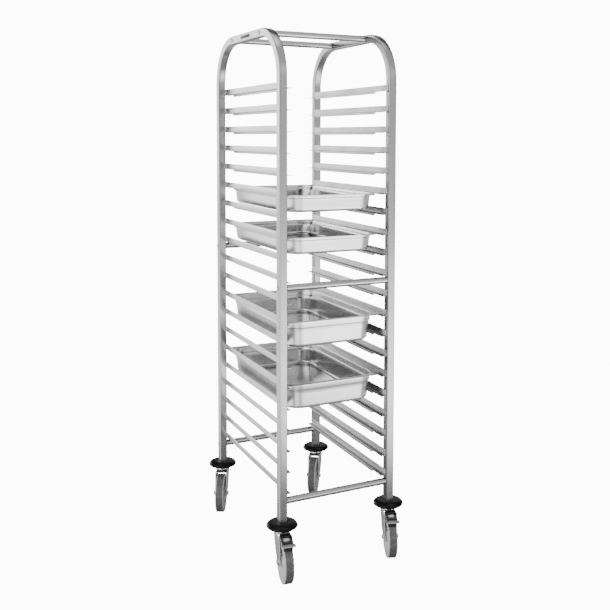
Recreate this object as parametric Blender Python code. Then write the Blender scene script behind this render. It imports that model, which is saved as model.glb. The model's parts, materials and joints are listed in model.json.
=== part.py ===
"""Sheet pan rack: two bent square-tube side frames with welded ledges, round cross bars,
four swivel casters with bumpers, foot brakes at the front, and four gastronorm pans.

Metres, +Z up. -Y is the loading side, +X is the right-hand side seen from there.
Z = 0 is the floor, and the origin is the middle of the floor area that the rack covers.
"""
import math

import bmesh
import bpy
from mathutils import Vector

# Overall sizes across and along; the height follows from the casters and the ledges
RACK_WIDTH = 0.380
RACK_DEPTH = 0.560
TOUCH_GAP = 0.0003

# Side frames: one square tube bent into an upside-down U
TUBE_SIZE = 0.025
TUBE_WALL = 0.0015
TUBE_CORNER = 0.0030
BEND_RADIUS = 0.150
BEND_STEPS = 6

# Ledges: pressed Z section, web against the tubes, lip turned down
LEVELS = 20
LEVEL_PITCH = 0.062
LOWEST_LEDGE_ABOVE_FOOT = 0.080
TOP_LEDGE_BELOW_BEND = 0.030
LEDGE_SHEET = 0.0012
LEDGE_WIDTH = 0.015
LEDGE_WEB = 0.018
LEDGE_LIP = 0.008
LEDGE_END_INSET = 0.007
LIP_END_INSET = 0.060
WELD_DEPTH = 0.0003

# Cross bars and their screws
BAR_RADIUS = 0.010
BAR_WALL = 0.0015
BAR_PLUG = 0.014
BOTTOM_BAR_DROP = 0.021
MIDDLE_BAR_DROP = 0.0145
FRONT_MIDDLE_LEVEL = 11
REAR_MIDDLE_LEVEL = 12
TOP_BAR_INSET = 0.010
SCREW_RADIUS = 0.0030
SCREW_CLEARANCE = 0.0003
SCREW_HEAD_RADIUS = 0.0062
SCREW_HEAD_HEIGHT = 0.0036
SCREW_REACH = 0.012

# Caster wheels
WHEEL_RADIUS = 0.0625
TYRE_WIDTH = 0.028
TYRE_DEPTH = 0.018
WHEEL_SIDES = 28
HUB_WIDTH = 0.024
HUB_DISH = 0.006
AXLE_RADIUS = 0.0050
RUNNING_GAP = 0.0004
AXLE_HEAD_RADIUS = 0.0085
AXLE_HEAD_HEIGHT = 0.0055
AXLE_CROWN = 0.0015
TRAIL = 0.042

# Caster forks and swivels
FORK_SHEET = 0.0025
FORK_SIDE_GAP = 0.0035
FORK_PLATE_GAP = 0.009
FORK_EYE_RADIUS = 0.014
FORK_SHOULDER = 0.004
FORK_BACK = 0.021
FORK_BACK_BULGE = 0.003
FORK_WAIST = 0.040
RACE_RADIUS = 0.024
RACE_HEIGHT = 0.004
RACE_CHAMFER = 0.001
CUP_HEIGHT = 0.0041
STEM_RADIUS = 0.006
STEM_OVER_EXPANDER = 0.003
STEM_HEAD_RADIUS = 0.010
STEM_HEAD_HEIGHT = 0.004
EXPANDER_LENGTH = 0.044
BUMPER_RADIUS = 0.046
BUMPER_HEIGHT = 0.0164
BUMPER_EDGE_Z = 0.0068
BUMPER_BOSS_RADIUS = 0.022
BUMPER_UNDERCUT = 0.0025

# Foot brakes
PIN_RADIUS = 0.0025
PIN_BACK = 0.005
PIN_DROP = 0.0055
PEDAL_SHEET = 0.0022
PEDAL_LENGTH = 0.040
LIP_LENGTH = 0.016
PEDAL_SLOPE = math.radians(12)
KNUCKLE_WALL = 0.002
PIN_PROUD = 0.002
COVER_HEIGHT = 0.008
COVER_FRAME = 0.006
COVER_BACK_INSET = 0.008
COVER_FRONT_INSET = 0.002
COVER_NOSE = 0.012
SHOE_GAP = 0.0025
SHOE_START = math.radians(20)
SHOE_END = math.radians(42)

# Pans: gastronorm 1/1 outer size, standing on the ledges by their flanges
PAN_SIDE_PLAY = 0.0025
PAN_WALL_CLEARANCE = 0.0025
PAN_FRONT_INSET = 0.026
PAN_REAR_INSET = 0.004
PAN_SHEET = 0.0010
PAN_CORNER = 0.055
PAN_DRAFT = 0.09
PAN_SHOULDER = 0.0025
PAN_SHOULDER_RISE = 0.002
PAN_FLOOR_ROUND = 0.012
# Name -> (level, depth below the flange, depth of the stacking shoulder)
PANS = {
    "pan_level_15": (15, 0.051, 0.009),
    "pan_level_13": (13, 0.051, 0.009),
    "pan_level_9": (9, 0.080, 0.020),
    "pan_level_6": (6, 0.080, 0.020),
}

# Resting swivel angle of each caster: corner name -> (side, end, angle, has a brake)
CASTERS = {
    "front_left": (-1, -1, math.radians(-10), True),
    "front_right": (1, -1, math.radians(-20), True),
    "rear_left": (-1, 1, math.radians(-26), False),
    "rear_right": (1, 1, math.radians(-34), False),
}

# Derived heights
FORK_PLATE_Z = 2 * WHEEL_RADIUS + FORK_PLATE_GAP
FORK_TOP_Z = FORK_PLATE_Z + FORK_SHEET
RACE_TOP_Z = FORK_TOP_Z + RACE_HEIGHT
CUP_TOP_Z = RACE_TOP_Z + RUNNING_GAP + CUP_HEIGHT
TUBE_FOOT_Z = CUP_TOP_Z + BUMPER_HEIGHT + 2 * TOUCH_GAP
LOWEST_LEDGE_Z = TUBE_FOOT_Z + LOWEST_LEDGE_ABOVE_FOOT
TOP_LEDGE_Z = LOWEST_LEDGE_Z + (LEVELS - 1) * LEVEL_PITCH
RACK_HEIGHT = TOP_LEDGE_Z + TOP_LEDGE_BELOW_BEND + BEND_RADIUS

# Derived places
INSIDE_X = RACK_WIDTH / 2 - TUBE_SIZE
UPRIGHT_X = (RACK_WIDTH - TUBE_SIZE) / 2
UPRIGHT_Y = (RACK_DEPTH - TUBE_SIZE) / 2
TOP_TUBE_Z = RACK_HEIGHT - TUBE_SIZE / 2
FLOOR_MIDDLE_Y = (TRAIL + WHEEL_RADIUS - BUMPER_RADIUS) / 2
LEDGE_END_Y = RACK_DEPTH / 2 - LEDGE_END_INSET
LIP_END_Y = RACK_DEPTH / 2 - LIP_END_INSET
FORK_HALF = TYRE_WIDTH / 2 + FORK_SIDE_GAP + FORK_SHEET
PIN_Y = -TRAIL + PIN_BACK
PIN_Z = FORK_TOP_Z - PIN_DROP
PAN_WIDTH = 2 * (INSIDE_X - PAN_SIDE_PLAY)
PAN_LENGTH = RACK_DEPTH - PAN_FRONT_INSET - PAN_REAR_INSET
PAN_FLANGE = LEDGE_WIDTH - PAN_SIDE_PLAY + PAN_WALL_CLEARANCE


def level_z(level):
    """Top face of a ledge, with level 1 the lowest."""
    return LOWEST_LEDGE_Z + (level - 1) * LEVEL_PITCH


def clear_scene():
    for thing in list(bpy.data.objects):
        bpy.data.objects.remove(thing, do_unlink=True)


def material(name, colour, roughness, metallic):
    finish = bpy.data.materials.new(name)
    finish.use_nodes = True
    shader = finish.node_tree.nodes["Principled BSDF"]
    shader.inputs["Base Color"].default_value = (*colour, 1.0)
    shader.inputs["Roughness"].default_value = roughness
    shader.inputs["Metallic"].default_value = metallic
    return finish


def empty(name, parent=None, location=(0, 0, 0), turn=0.0):
    point = bpy.data.objects.new(name, None)
    bpy.context.collection.objects.link(point)
    point.parent = parent
    point.location = location
    point.rotation_euler = (0, 0, turn)
    return point


def make_object(name, shape, finish, parent, location=(0, 0, 0), rotation=(0, 0, 0)):
    bmesh.ops.remove_doubles(shape, verts=shape.verts, dist=1e-7)
    bmesh.ops.recalc_face_normals(shape, faces=shape.faces)
    mesh = bpy.data.meshes.new(name)
    shape.to_mesh(mesh)
    shape.free()
    thing = bpy.data.objects.new(name, mesh)
    bpy.context.collection.objects.link(thing)
    if finish is not None:
        mesh.materials.append(finish)
    thing.parent = parent
    thing.location = location
    thing.rotation_euler = rotation
    return thing


def helper(name, shape, parent, location=(0, 0, 0)):
    """A shape that only feeds a Boolean modifier."""
    thing = make_object(name, shape, None, parent, location)
    thing.hide_render = True
    thing.display_type = "WIRE"
    return thing


def boolean(thing, operation, other):
    step = thing.modifiers.new(operation.lower(), "BOOLEAN")
    step.operation = operation
    step.object = other
    step.solver = "EXACT"


def smooth(thing, degrees=40):
    thing.data.shade_smooth()
    thing.data.set_sharp_from_angle(angle=math.radians(degrees))


def add_rings(shape, rings, closed_ends=False, loop=False):
    """Skin a list of rings that all have the same number of points."""
    made = [[shape.verts.new(point) for point in ring] for ring in rings]
    pairs = list(zip(made, made[1:]))
    if loop:
        pairs.append((made[-1], made[0]))
    count = len(made[0])
    for low, high in pairs:
        for i in range(count):
            j = (i + 1) % count
            shape.faces.new((low[i], low[j], high[j], high[i]))
    if closed_ends:
        shape.faces.new(made[0])
        shape.faces.new(made[-1])


def turned(profile, sides):
    """A closed (radius, height) outline turned about Z, all radii above zero."""
    shape = bmesh.new()
    rings = []
    for k in range(sides):
        angle = 2 * math.pi * k / sides
        rings.append([(r * math.cos(angle), r * math.sin(angle), z) for r, z in profile])
    add_rings(shape, rings, loop=True)
    return shape


def turned_solid(profile, sides):
    """An open (radius, height) outline turned about Z and closed by flat end faces."""
    shape = bmesh.new()
    rings = []
    for r, z in profile:
        angles = [2 * math.pi * k / sides for k in range(sides)]
        rings.append([(r * math.cos(a), r * math.sin(a), z) for a in angles])
    add_rings(shape, rings, closed_ends=True)
    return shape


def prism(outline, x0, x1):
    """A (y, z) outline with straight walls from x0 to x1."""
    shape = bmesh.new()
    add_rings(shape, [[(x, y, z) for y, z in outline] for x in (x0, x1)], closed_ends=True)
    return shape


def arc(centre, radius, start, end, steps):
    """Points (y, z) on an arc; angle 0 points to +Y, a quarter turn to +Z."""
    turns = [start + (end - start) * k / steps for k in range(steps + 1)]
    return [(centre[0] + radius * math.cos(t), centre[1] + radius * math.sin(t)) for t in turns]


def rounded_box(half_x, half_y, radius, z, corner_steps):
    """A ring of points round a rectangle with round corners."""
    ring = []
    corners = ((1, 1, 0), (-1, 1, 90), (-1, -1, 180), (1, -1, 270))
    for side_x, side_y, start in corners:
        cx = side_x * (half_x - radius)
        cy = side_y * (half_y - radius)
        for k in range(corner_steps + 1):
            angle = math.radians(start + 90 * k / corner_steps)
            ring.append((cx + radius * math.cos(angle), cy + radius * math.sin(angle), z))
    return ring


def arch_stations():
    """Centre points and outward directions along the bent tube, foot to foot."""
    bend = BEND_RADIUS - TUBE_SIZE / 2
    bend_y = UPRIGHT_Y - bend
    bend_z = TOP_TUBE_Z - bend
    stations = [(-UPRIGHT_Y, TUBE_FOOT_Z, math.pi)]
    for side, start in ((-1, math.pi), (1, math.pi / 2)):
        for k in range(BEND_STEPS + 1):
            angle = start - math.pi / 2 * k / BEND_STEPS
            y = side * bend_y + bend * math.cos(angle)
            stations.append((y, bend_z + bend * math.sin(angle), angle))
    stations.append((UPRIGHT_Y, TUBE_FOOT_Z, 0.0))
    return stations


def arch_tube():
    """The hollow square tube, open at both feet."""
    shape = bmesh.new()
    skins = []
    for half, radius in (
        (TUBE_SIZE / 2, TUBE_CORNER),
        (TUBE_SIZE / 2 - TUBE_WALL, TUBE_CORNER - TUBE_WALL),
    ):
        section = rounded_box(half, half, radius, 0, 2)
        rings = []
        for y, z, angle in arch_stations():
            out = Vector((0, math.cos(angle), math.sin(angle)))
            rings.append([Vector((s, 0, 0)) + Vector((0, y, z)) + out * t for s, t, _ in section])
        skins.append([[shape.verts.new(point) for point in ring] for ring in rings])
    count = len(skins[0][0])
    for skin in skins:
        for low, high in zip(skin, skin[1:]):
            for i in range(count):
                j = (i + 1) % count
                shape.faces.new((low[i], low[j], high[j], high[i]))
    for end in (0, -1):
        outer, inner = skins[0][end], skins[1][end]
        for i in range(count):
            j = (i + 1) % count
            shape.faces.new((outer[i], outer[j], inner[j], inner[i]))
    return shape


def ledge_set(side):
    """All ledges of one side; the web sinks into the tube walls where it is welded."""
    shape = bmesh.new()
    wall_x = -(TUBE_SIZE / 2 - WELD_DEPTH) * side
    inward = -side
    section = [
        (0, -LEDGE_SHEET),
        (LEDGE_WIDTH - LEDGE_SHEET, -LEDGE_SHEET),
        (LEDGE_WIDTH, -LEDGE_SHEET),
        (LEDGE_WIDTH, 0),
        (LEDGE_SHEET, 0),
        (LEDGE_SHEET, LEDGE_WEB),
        (0, LEDGE_WEB),
    ]
    for level in range(1, LEVELS + 1):
        base = level_z(level)
        rings = []
        for y in (-LEDGE_END_Y, -LIP_END_Y, LIP_END_Y, LEDGE_END_Y):
            rings.append([shape.verts.new((wall_x + inward * u, y, base + v)) for u, v in section])
        for part, (low, high) in enumerate(zip(rings, rings[1:])):
            for i in range(len(section)):
                j = (i + 1) % len(section)
                face = shape.faces.new((low[i], low[j], high[j], high[i]))
                if part == 1 and i == 1:
                    lip_face = face
        shape.faces.new(rings[0])
        shape.faces.new(rings[-1])
        made = bmesh.ops.extrude_discrete_faces(shape, faces=[lip_face])["faces"][0]
        bmesh.ops.translate(shape, verts=made.verts, vec=(0, 0, LEDGE_SHEET - LEDGE_LIP))
    return shape


def bar_places():
    """Name, y and z of each cross bar."""
    top_y = RACK_DEPTH / 2 - BEND_RADIUS - TOP_BAR_INSET
    bottom_z = level_z(1) - BOTTOM_BAR_DROP
    return [
        ("top_front_bar", -top_y, TOP_TUBE_Z),
        ("top_rear_bar", top_y, TOP_TUBE_Z),
        ("middle_front_bar", -UPRIGHT_Y, level_z(FRONT_MIDDLE_LEVEL) - MIDDLE_BAR_DROP),
        ("middle_rear_bar", UPRIGHT_Y, level_z(REAR_MIDDLE_LEVEL) - MIDDLE_BAR_DROP),
        ("bottom_front_bar", -UPRIGHT_Y, bottom_z),
        ("bottom_rear_bar", UPRIGHT_Y, bottom_z),
    ]


def screw_holes():
    """Cylinders through both walls of one side frame at every bar."""
    shape = bmesh.new()
    reach = TUBE_SIZE
    for _, y, z in bar_places():
        hole = SCREW_RADIUS + SCREW_CLEARANCE
        rings = []
        for x in (-reach, reach):
            spin = [2 * math.pi * k / 12 for k in range(12)]
            rings.append([(x, y + hole * math.cos(a), z + hole * math.sin(a)) for a in spin])
        add_rings(shape, rings, closed_ends=True)
    return shape


def side_frame(name, side, finish, rack):
    place = (side * UPRIGHT_X, 0, 0)
    frame = make_object(name, arch_tube(), finish, rack, place)
    ledges = helper(name + "_ledges", ledge_set(side), rack, place)
    holes = helper(name + "_screw_holes", screw_holes(), rack, place)
    boolean(frame, "UNION", ledges)
    boolean(frame, "DIFFERENCE", holes)
    smooth(frame)


def cross_bar(name, y, z, finish, rack):
    half = INSIDE_X - TOUCH_GAP
    bore = SCREW_RADIUS + SCREW_CLEARANCE
    inner = BAR_RADIUS - BAR_WALL
    plug = half - BAR_PLUG
    profile = [
        (BAR_RADIUS, -half), (BAR_RADIUS, half), (bore, half), (bore, plug),
        (inner, plug), (inner, -plug), (bore, -plug), (bore, -half),
    ]
    bar = make_object(name, turned(profile, 16), finish, rack, (0, y, z), (0, math.pi / 2, 0))
    smooth(bar)


def bar_screw(name, side, y, z, finish, rack):
    """Dome-head screw with its origin on the frame's outer face."""
    shank = RACK_WIDTH / 2 - INSIDE_X + SCREW_REACH
    seat = TOUCH_GAP
    dome = [(0.75, 0.72), (0.35, 1.0)]
    profile = [(SCREW_RADIUS, -shank), (SCREW_RADIUS, seat), (SCREW_HEAD_RADIUS, seat)]
    profile += [(SCREW_HEAD_RADIUS * r, seat + SCREW_HEAD_HEIGHT * h) for r, h in [(1, 0.3)] + dome]
    place = (side * RACK_WIDTH / 2, y, z)
    turn = (0, side * math.pi / 2, 0)
    smooth(make_object(name, turned_solid(profile, 12), finish, rack, place, turn))


def tyre_profile():
    """Round-shouldered tread over a straight seat on the hub."""
    half = TYRE_WIDTH / 2
    inner = WHEEL_RADIUS - TYRE_DEPTH
    shoulder = [(1.0, 0.40), (0.96, 0.82), (0.87, 1.0)]
    outer = [(WHEEL_RADIUS * r, half * w) for r, w in shoulder]
    lower = [(r, -w) for r, w in reversed(outer)]
    return [(inner, half * 0.86)] + outer[::-1] + lower[::-1] + [(inner, -half * 0.86)]


def hub_profile():
    half = HUB_WIDTH / 2
    rim = WHEEL_RADIUS - TYRE_DEPTH - TOUCH_GAP
    web = half - HUB_DISH
    boss = AXLE_RADIUS * 2.4
    side = [(rim, half), (rim * 0.86, half), (rim * 0.80, web), (boss * 1.15, web), (boss, half)]
    bore = AXLE_RADIUS + RUNNING_GAP
    upper = side + [(bore, half)]
    return upper + [(r, -z) for r, z in reversed(upper)]


def axle_profile():
    """Bolt head, shank and nut as one turned fastener."""
    seat = FORK_HALF + TOUCH_GAP
    end = seat + AXLE_HEAD_HEIGHT
    crown = AXLE_HEAD_RADIUS * 0.55
    return [
        (crown, -end), (AXLE_HEAD_RADIUS, AXLE_CROWN - end), (AXLE_HEAD_RADIUS, -seat),
        (AXLE_RADIUS, -seat), (AXLE_RADIUS, seat), (AXLE_HEAD_RADIUS, seat),
        (AXLE_HEAD_RADIUS, end - AXLE_CROWN), (crown, end),
    ]


def fork_leg_outline():
    """Side view of a leg: broad under the swivel, round at the axle."""
    axle = (-TRAIL, WHEEL_RADIUS)
    eye = arc(axle, FORK_EYE_RADIUS, math.radians(-20), math.radians(-190), 6)
    nose_y = PIN_Y - FORK_SHOULDER
    front = [(nose_y - 0.008, PIN_Z - 0.020), (nose_y - 0.004, FORK_TOP_Z - 0.003), (nose_y, FORK_TOP_Z)]
    back = [
        (FORK_BACK, FORK_TOP_Z),
        (FORK_BACK + FORK_BACK_BULGE, FORK_TOP_Z - 2 * FORK_BACK_BULGE),
        (FORK_EYE_RADIUS, WHEEL_RADIUS + FORK_WAIST),
    ]
    return eye + front + back


def fork(name, finish, parent, brake):
    outer = FORK_HALF
    leg = prism(fork_leg_outline(), outer - FORK_SHEET, outer)
    thing = make_object(name, leg, finish, parent)
    other = helper(name + "_far_leg", prism(fork_leg_outline(), -outer, FORK_SHEET - outer), parent)
    front_y = -RACE_RADIUS if brake else PIN_Y - FORK_SHOULDER
    plate = [(front_y, FORK_PLATE_Z), (FORK_BACK, FORK_PLATE_Z)]
    plate += [(FORK_BACK, FORK_TOP_Z), (front_y, FORK_TOP_Z)]
    skin = outer - 0.0001
    sheet = helper(name + "_plate", prism(plate, -skin, skin), parent)
    race = [(RACE_RADIUS, FORK_PLATE_Z + 0.0005), (RACE_RADIUS, RACE_TOP_Z - RACE_CHAMFER)]
    race += [(RACE_RADIUS - RACE_CHAMFER, RACE_TOP_Z)]
    cup = helper(name + "_race", turned_solid(race, 24), parent)
    hole = STEM_RADIUS + RUNNING_GAP
    bore = [(hole, FORK_PLATE_Z - 0.01), (hole, RACE_TOP_Z + 0.01)]
    stem_bore = helper(name + "_stem_bore", turned_solid(bore, 16), parent)
    boolean(thing, "UNION", other)
    boolean(thing, "UNION", sheet)
    boolean(thing, "UNION", cup)
    boolean(thing, "DIFFERENCE", stem_bore)
    holes = [(-TRAIL, WHEEL_RADIUS, AXLE_RADIUS)]
    if brake:
        holes.append((PIN_Y, PIN_Z, PIN_RADIUS))
    for number, (y, z, radius) in enumerate(holes):
        ring = arc((y, z), radius + RUNNING_GAP, 0, 2 * math.pi * 15 / 16, 15)
        cut = helper(f"{name}_hole_{number}", prism(ring, -2 * outer, 2 * outer), parent)
        boolean(thing, "DIFFERENCE", cut)
    smooth(thing)


def stem_profile():
    """Bolt from the expander down through the race cup to the head under the fork."""
    top = TUBE_FOOT_Z + EXPANDER_LENGTH + STEM_OVER_EXPANDER
    cup = RACE_TOP_Z + RUNNING_GAP
    head = FORK_PLATE_Z - RUNNING_GAP
    return [
        (STEM_RADIUS, top), (STEM_RADIUS, CUP_TOP_Z), (RACE_RADIUS, CUP_TOP_Z),
        (RACE_RADIUS + RACE_CHAMFER, cup), (STEM_RADIUS, cup), (STEM_RADIUS, head),
        (STEM_HEAD_RADIUS, head), (STEM_HEAD_RADIUS * 0.8, head - STEM_HEAD_HEIGHT),
    ]


def bumper_profile():
    """Domed rubber ring, with a flat boss under the tube."""
    hole = STEM_RADIUS + TOUCH_GAP
    base = CUP_TOP_Z + TOUCH_GAP
    top = base + BUMPER_HEIGHT
    run = BUMPER_RADIUS - BUMPER_BOSS_RADIUS
    rise = BUMPER_HEIGHT - BUMPER_EDGE_Z
    lower = [(hole, base), (BUMPER_RADIUS * 0.84, base), (BUMPER_RADIUS * 0.96, base + BUMPER_UNDERCUT)]
    turns = [math.pi / 2 * k / 4 for k in range(5)]
    dome = [(BUMPER_BOSS_RADIUS + run * math.cos(t), top - rise * (1 - math.sin(t))) for t in turns]
    return lower + dome + [(hole, top)]


def expander(name, finish, rack, place):
    """Square sleeve round the stem, inside the foot of the tube."""
    half = TUBE_SIZE / 2 - TUBE_WALL - TOUCH_GAP
    low = place[2] + TOUCH_GAP
    corner = TUBE_CORNER - TUBE_WALL
    heights = (low, low + EXPANDER_LENGTH)
    outer = [rounded_box(half, half, corner, z, 1) for z in heights]
    hole = (STEM_RADIUS + TOUCH_GAP) / math.cos(math.pi / 8)
    spins = [math.radians(45 * k + 22.5) for k in range(8)]
    inner = [[(hole * math.cos(a), hole * math.sin(a), z) for a in spins] for z in heights]
    shape = bmesh.new()
    add_rings(shape, [outer[0], outer[1], inner[1], inner[0]], loop=True)
    make_object(name, shape, finish, rack, (place[0], place[1], 0))


def brake(corner, finishes, swivel):
    """Pedal, cover and shoe on the pivot, and the pin that stays in the fork."""
    pivot = empty(f"brake_pivot_{corner}", swivel, (0, PIN_Y, PIN_Z))
    half = TYRE_WIDTH / 2 + FORK_SIDE_GAP - 2 * RUNNING_GAP
    pin_half = FORK_HALF + PIN_PROUD
    pin = [(PIN_RADIUS, -pin_half), (PIN_RADIUS, pin_half)]
    pin_object = make_object(
        f"brake_pin_{corner}", turned_solid(pin, 12), finishes["steel"], swivel,
        (0, PIN_Y, PIN_Z), (0, math.pi / 2, 0),
    )
    smooth(pin_object)

    knuckle = PIN_RADIUS + KNUCKLE_WALL
    along = Vector((-math.cos(PEDAL_SLOPE), -math.sin(PEDAL_SLOPE)))
    down = Vector((math.sin(PEDAL_SLOPE), -math.cos(PEDAL_SLOPE)))
    top_start = -down * knuckle
    top_end = top_start + along * PEDAL_LENGTH
    lip_end = top_end + Vector((-LIP_LENGTH, -0.001))
    low_end = top_end + down * PEDAL_SHEET
    root = along * knuckle * 0.9 - down * (knuckle - PEDAL_SHEET)
    eye = arc((0, 0), knuckle, math.pi / 2 + PEDAL_SLOPE, -math.pi + PEDAL_SLOPE + 0.3, 8)
    outline = [tuple(lip_end), tuple(top_end)] + eye + [tuple(root), tuple(low_end)]
    outline.append((lip_end.x, lip_end.y - PEDAL_SHEET))
    body = prism(outline, -half, half)
    pedal = make_object(f"brake_pedal_{corner}", body, finishes["fork"], pivot)
    ring = arc((0, 0), PIN_RADIUS + RUNNING_GAP, 0, 2 * math.pi * 11 / 12, 11)
    bore = helper(f"brake_pedal_{corner}_bore", prism(ring, -2 * half, 2 * half), pivot)
    boolean(pedal, "DIFFERENCE", bore)
    smooth(pedal)

    lift = -down * TOUCH_GAP
    near = top_start + along * COVER_BACK_INSET + lift
    far = top_start + along * (PEDAL_LENGTH - COVER_FRONT_INSET) + lift
    rise = -down * COVER_HEIGHT
    back = near + rise * 0.55 + along * COVER_FRONT_INSET
    crest = far + rise - along * COVER_NOSE
    block = [tuple(p) for p in (near, back, crest, far + rise * 0.35, far)]
    body = prism(block, -half, half)
    cover = make_object(f"brake_cover_{corner}", body, finishes["plastic"], pivot)
    inner = half - COVER_FRAME
    low = near + along * COVER_FRAME - rise
    high = far - along * COVER_FRAME - rise
    window = [tuple(p) for p in (low, low + rise * 3, high + rise * 3, high)]
    cut = helper(f"brake_cover_{corner}_window", prism(window, -inner, inner), pivot)
    boolean(cover, "DIFFERENCE", cut)

    axle = (-TRAIL - PIN_Y, WHEEL_RADIUS - PIN_Z)
    sole = arc(axle, WHEEL_RADIUS + SHOE_GAP, math.pi / 2 + SHOE_START, math.pi / 2 + SHOE_END, 5)
    seat = top_start + down * (PEDAL_SHEET + TOUCH_GAP)
    heel_run = -(sole[0][0] - seat.x) / math.cos(PEDAL_SLOPE)
    heel = seat + along * heel_run
    knee = low_end + down * TOUCH_GAP
    toe = Vector((sole[-1][0], lip_end.y - PEDAL_SHEET - TOUCH_GAP))
    shoe = sole + [tuple(toe), tuple(knee), tuple(heel)]
    body = prism(shoe, -half * 0.8, half * 0.8)
    make_object(f"brake_shoe_{corner}", body, finishes["rubber"], pivot)


def caster(corner, finishes, rack):
    side, end, angle, braked = CASTERS[corner]
    x, y = side * UPRIGHT_X, end * UPRIGHT_Y
    expander(f"stem_expander_{corner}", finishes["plastic"], rack, (x, y, TUBE_FOOT_Z))
    stem = turned_solid(stem_profile(), 16)
    smooth(make_object(f"caster_stem_{corner}", stem, finishes["fork"], rack, (x, y, 0)))
    bumper = turned(bumper_profile(), 20)
    smooth(make_object(f"bumper_{corner}", bumper, finishes["bumper"], rack, (x, y, 0)))

    swivel = empty(f"swivel_{corner}", rack, (x, y, 0), angle)
    fork(f"caster_fork_{corner}", finishes["fork"], swivel, braked)
    across = (0, math.pi / 2, 0)
    centre = (0, -TRAIL, WHEEL_RADIUS)
    axle = turned_solid(axle_profile(), 12)
    smooth(make_object(f"axle_bolt_{corner}", axle, finishes["steel"], swivel, centre, across))
    spin = empty(f"wheel_centre_{corner}", swivel, centre)
    tyre = turned(tyre_profile(), WHEEL_SIDES)
    smooth(make_object(f"tyre_{corner}", tyre, finishes["tyre"], spin, rotation=across))
    hub = turned(hub_profile(), WHEEL_SIDES)
    smooth(make_object(f"wheel_hub_{corner}", hub, finishes["hub"], spin, rotation=across))
    if braked:
        brake(corner, finishes, swivel)


def pan(name, level, depth, shoulder, finish, rack):
    """A drawn sheet pan: flange, stacking shoulder, tapered walls and a round-edged floor."""
    base = level_z(level) + TOUCH_GAP
    half_x, half_y = PAN_WIDTH / 2, PAN_LENGTH / 2
    wall_x, wall_y = half_x - PAN_FLANGE, half_y - PAN_FLANGE
    low = depth - PAN_FLOOR_ROUND
    shoulder_in = PAN_DRAFT * shoulder * 0.3
    step_in = PAN_SHOULDER + shoulder_in
    low_in = step_in + PAN_DRAFT * (low - shoulder)
    steps = [
        (0.0, 0.0),
        (shoulder, shoulder_in),
        (shoulder + PAN_SHOULDER_RISE, step_in),
        (low, low_in),
        (low + PAN_FLOOR_ROUND * 0.7, low_in + PAN_FLOOR_ROUND * 0.3),
        (depth, low_in + PAN_FLOOR_ROUND),
    ]

    def ring(drop, inset, skin):
        shift = skin * PAN_SHEET
        radius = PAN_CORNER - inset * 0.5 - shift
        return rounded_box(wall_x - inset - shift, wall_y - inset - shift, radius, base - drop, 4)

    lip_radius = (PAN_CORNER + PAN_FLANGE) * 0.35
    outside = [ring(drop, inset, 0) for drop, inset in steps]
    inside = [ring(drop - PAN_SHEET, inset, 1) for drop, inset in steps]
    edge_low = rounded_box(half_x, half_y, lip_radius, base, 4)
    edge_high = rounded_box(half_x, half_y, lip_radius, base + PAN_SHEET, 4)
    shape = bmesh.new()
    add_rings(shape, outside[::-1] + [edge_low, edge_high] + inside, closed_ends=True)
    place = (0, -RACK_DEPTH / 2 + PAN_FRONT_INSET + half_y, 0)
    smooth(make_object(name, shape, finish, rack, place), 30)


def build():
    clear_scene()
    finishes = {
        "frame": material("satin_steel", (0.62, 0.62, 0.62), 0.28, 1.0),
        "steel": material("bright_steel", (0.72, 0.72, 0.72), 0.20, 1.0),
        "fork": material("zinc_plated_steel", (0.66, 0.67, 0.68), 0.30, 1.0),
        "pan": material("polished_steel", (0.70, 0.70, 0.71), 0.16, 1.0),
        "tyre": material("grey_rubber", (0.17, 0.17, 0.17), 0.60, 0.0),
        "hub": material("light_grey_plastic", (0.52, 0.52, 0.52), 0.45, 0.0),
        "bumper": material("black_rubber", (0.012, 0.012, 0.012), 0.25, 0.0),
        "plastic": material("black_plastic", (0.015, 0.015, 0.015), 0.35, 0.0),
        "rubber": material("brake_rubber", (0.02, 0.02, 0.02), 0.70, 0.0),
    }
    rack = empty("rack", location=(0, FLOOR_MIDDLE_Y, 0))
    for name, side in (("left_side_frame", -1), ("right_side_frame", 1)):
        side_frame(name, side, finishes["frame"], rack)
    for name, y, z in bar_places():
        cross_bar(name, y, z, finishes["frame"], rack)
        for hand, side in (("left", -1), ("right", 1)):
            bar_screw(f"{name}_{hand}_screw", side, y, z, finishes["steel"], rack)
    for corner in CASTERS:
        caster(corner, finishes, rack)
    for name, (level, depth, shoulder) in PANS.items():
        pan(name, level, depth, shoulder, finishes["pan"], rack)


build()
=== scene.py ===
"""Looks of the sheet pan rack: bent tube sides, pressed ledges, cross bars, casters and pans.

Metres, +Z up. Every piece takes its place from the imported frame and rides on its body.
"""
import json
import math

import bmesh
import bpy
from mathutils import Matrix, Vector


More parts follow.
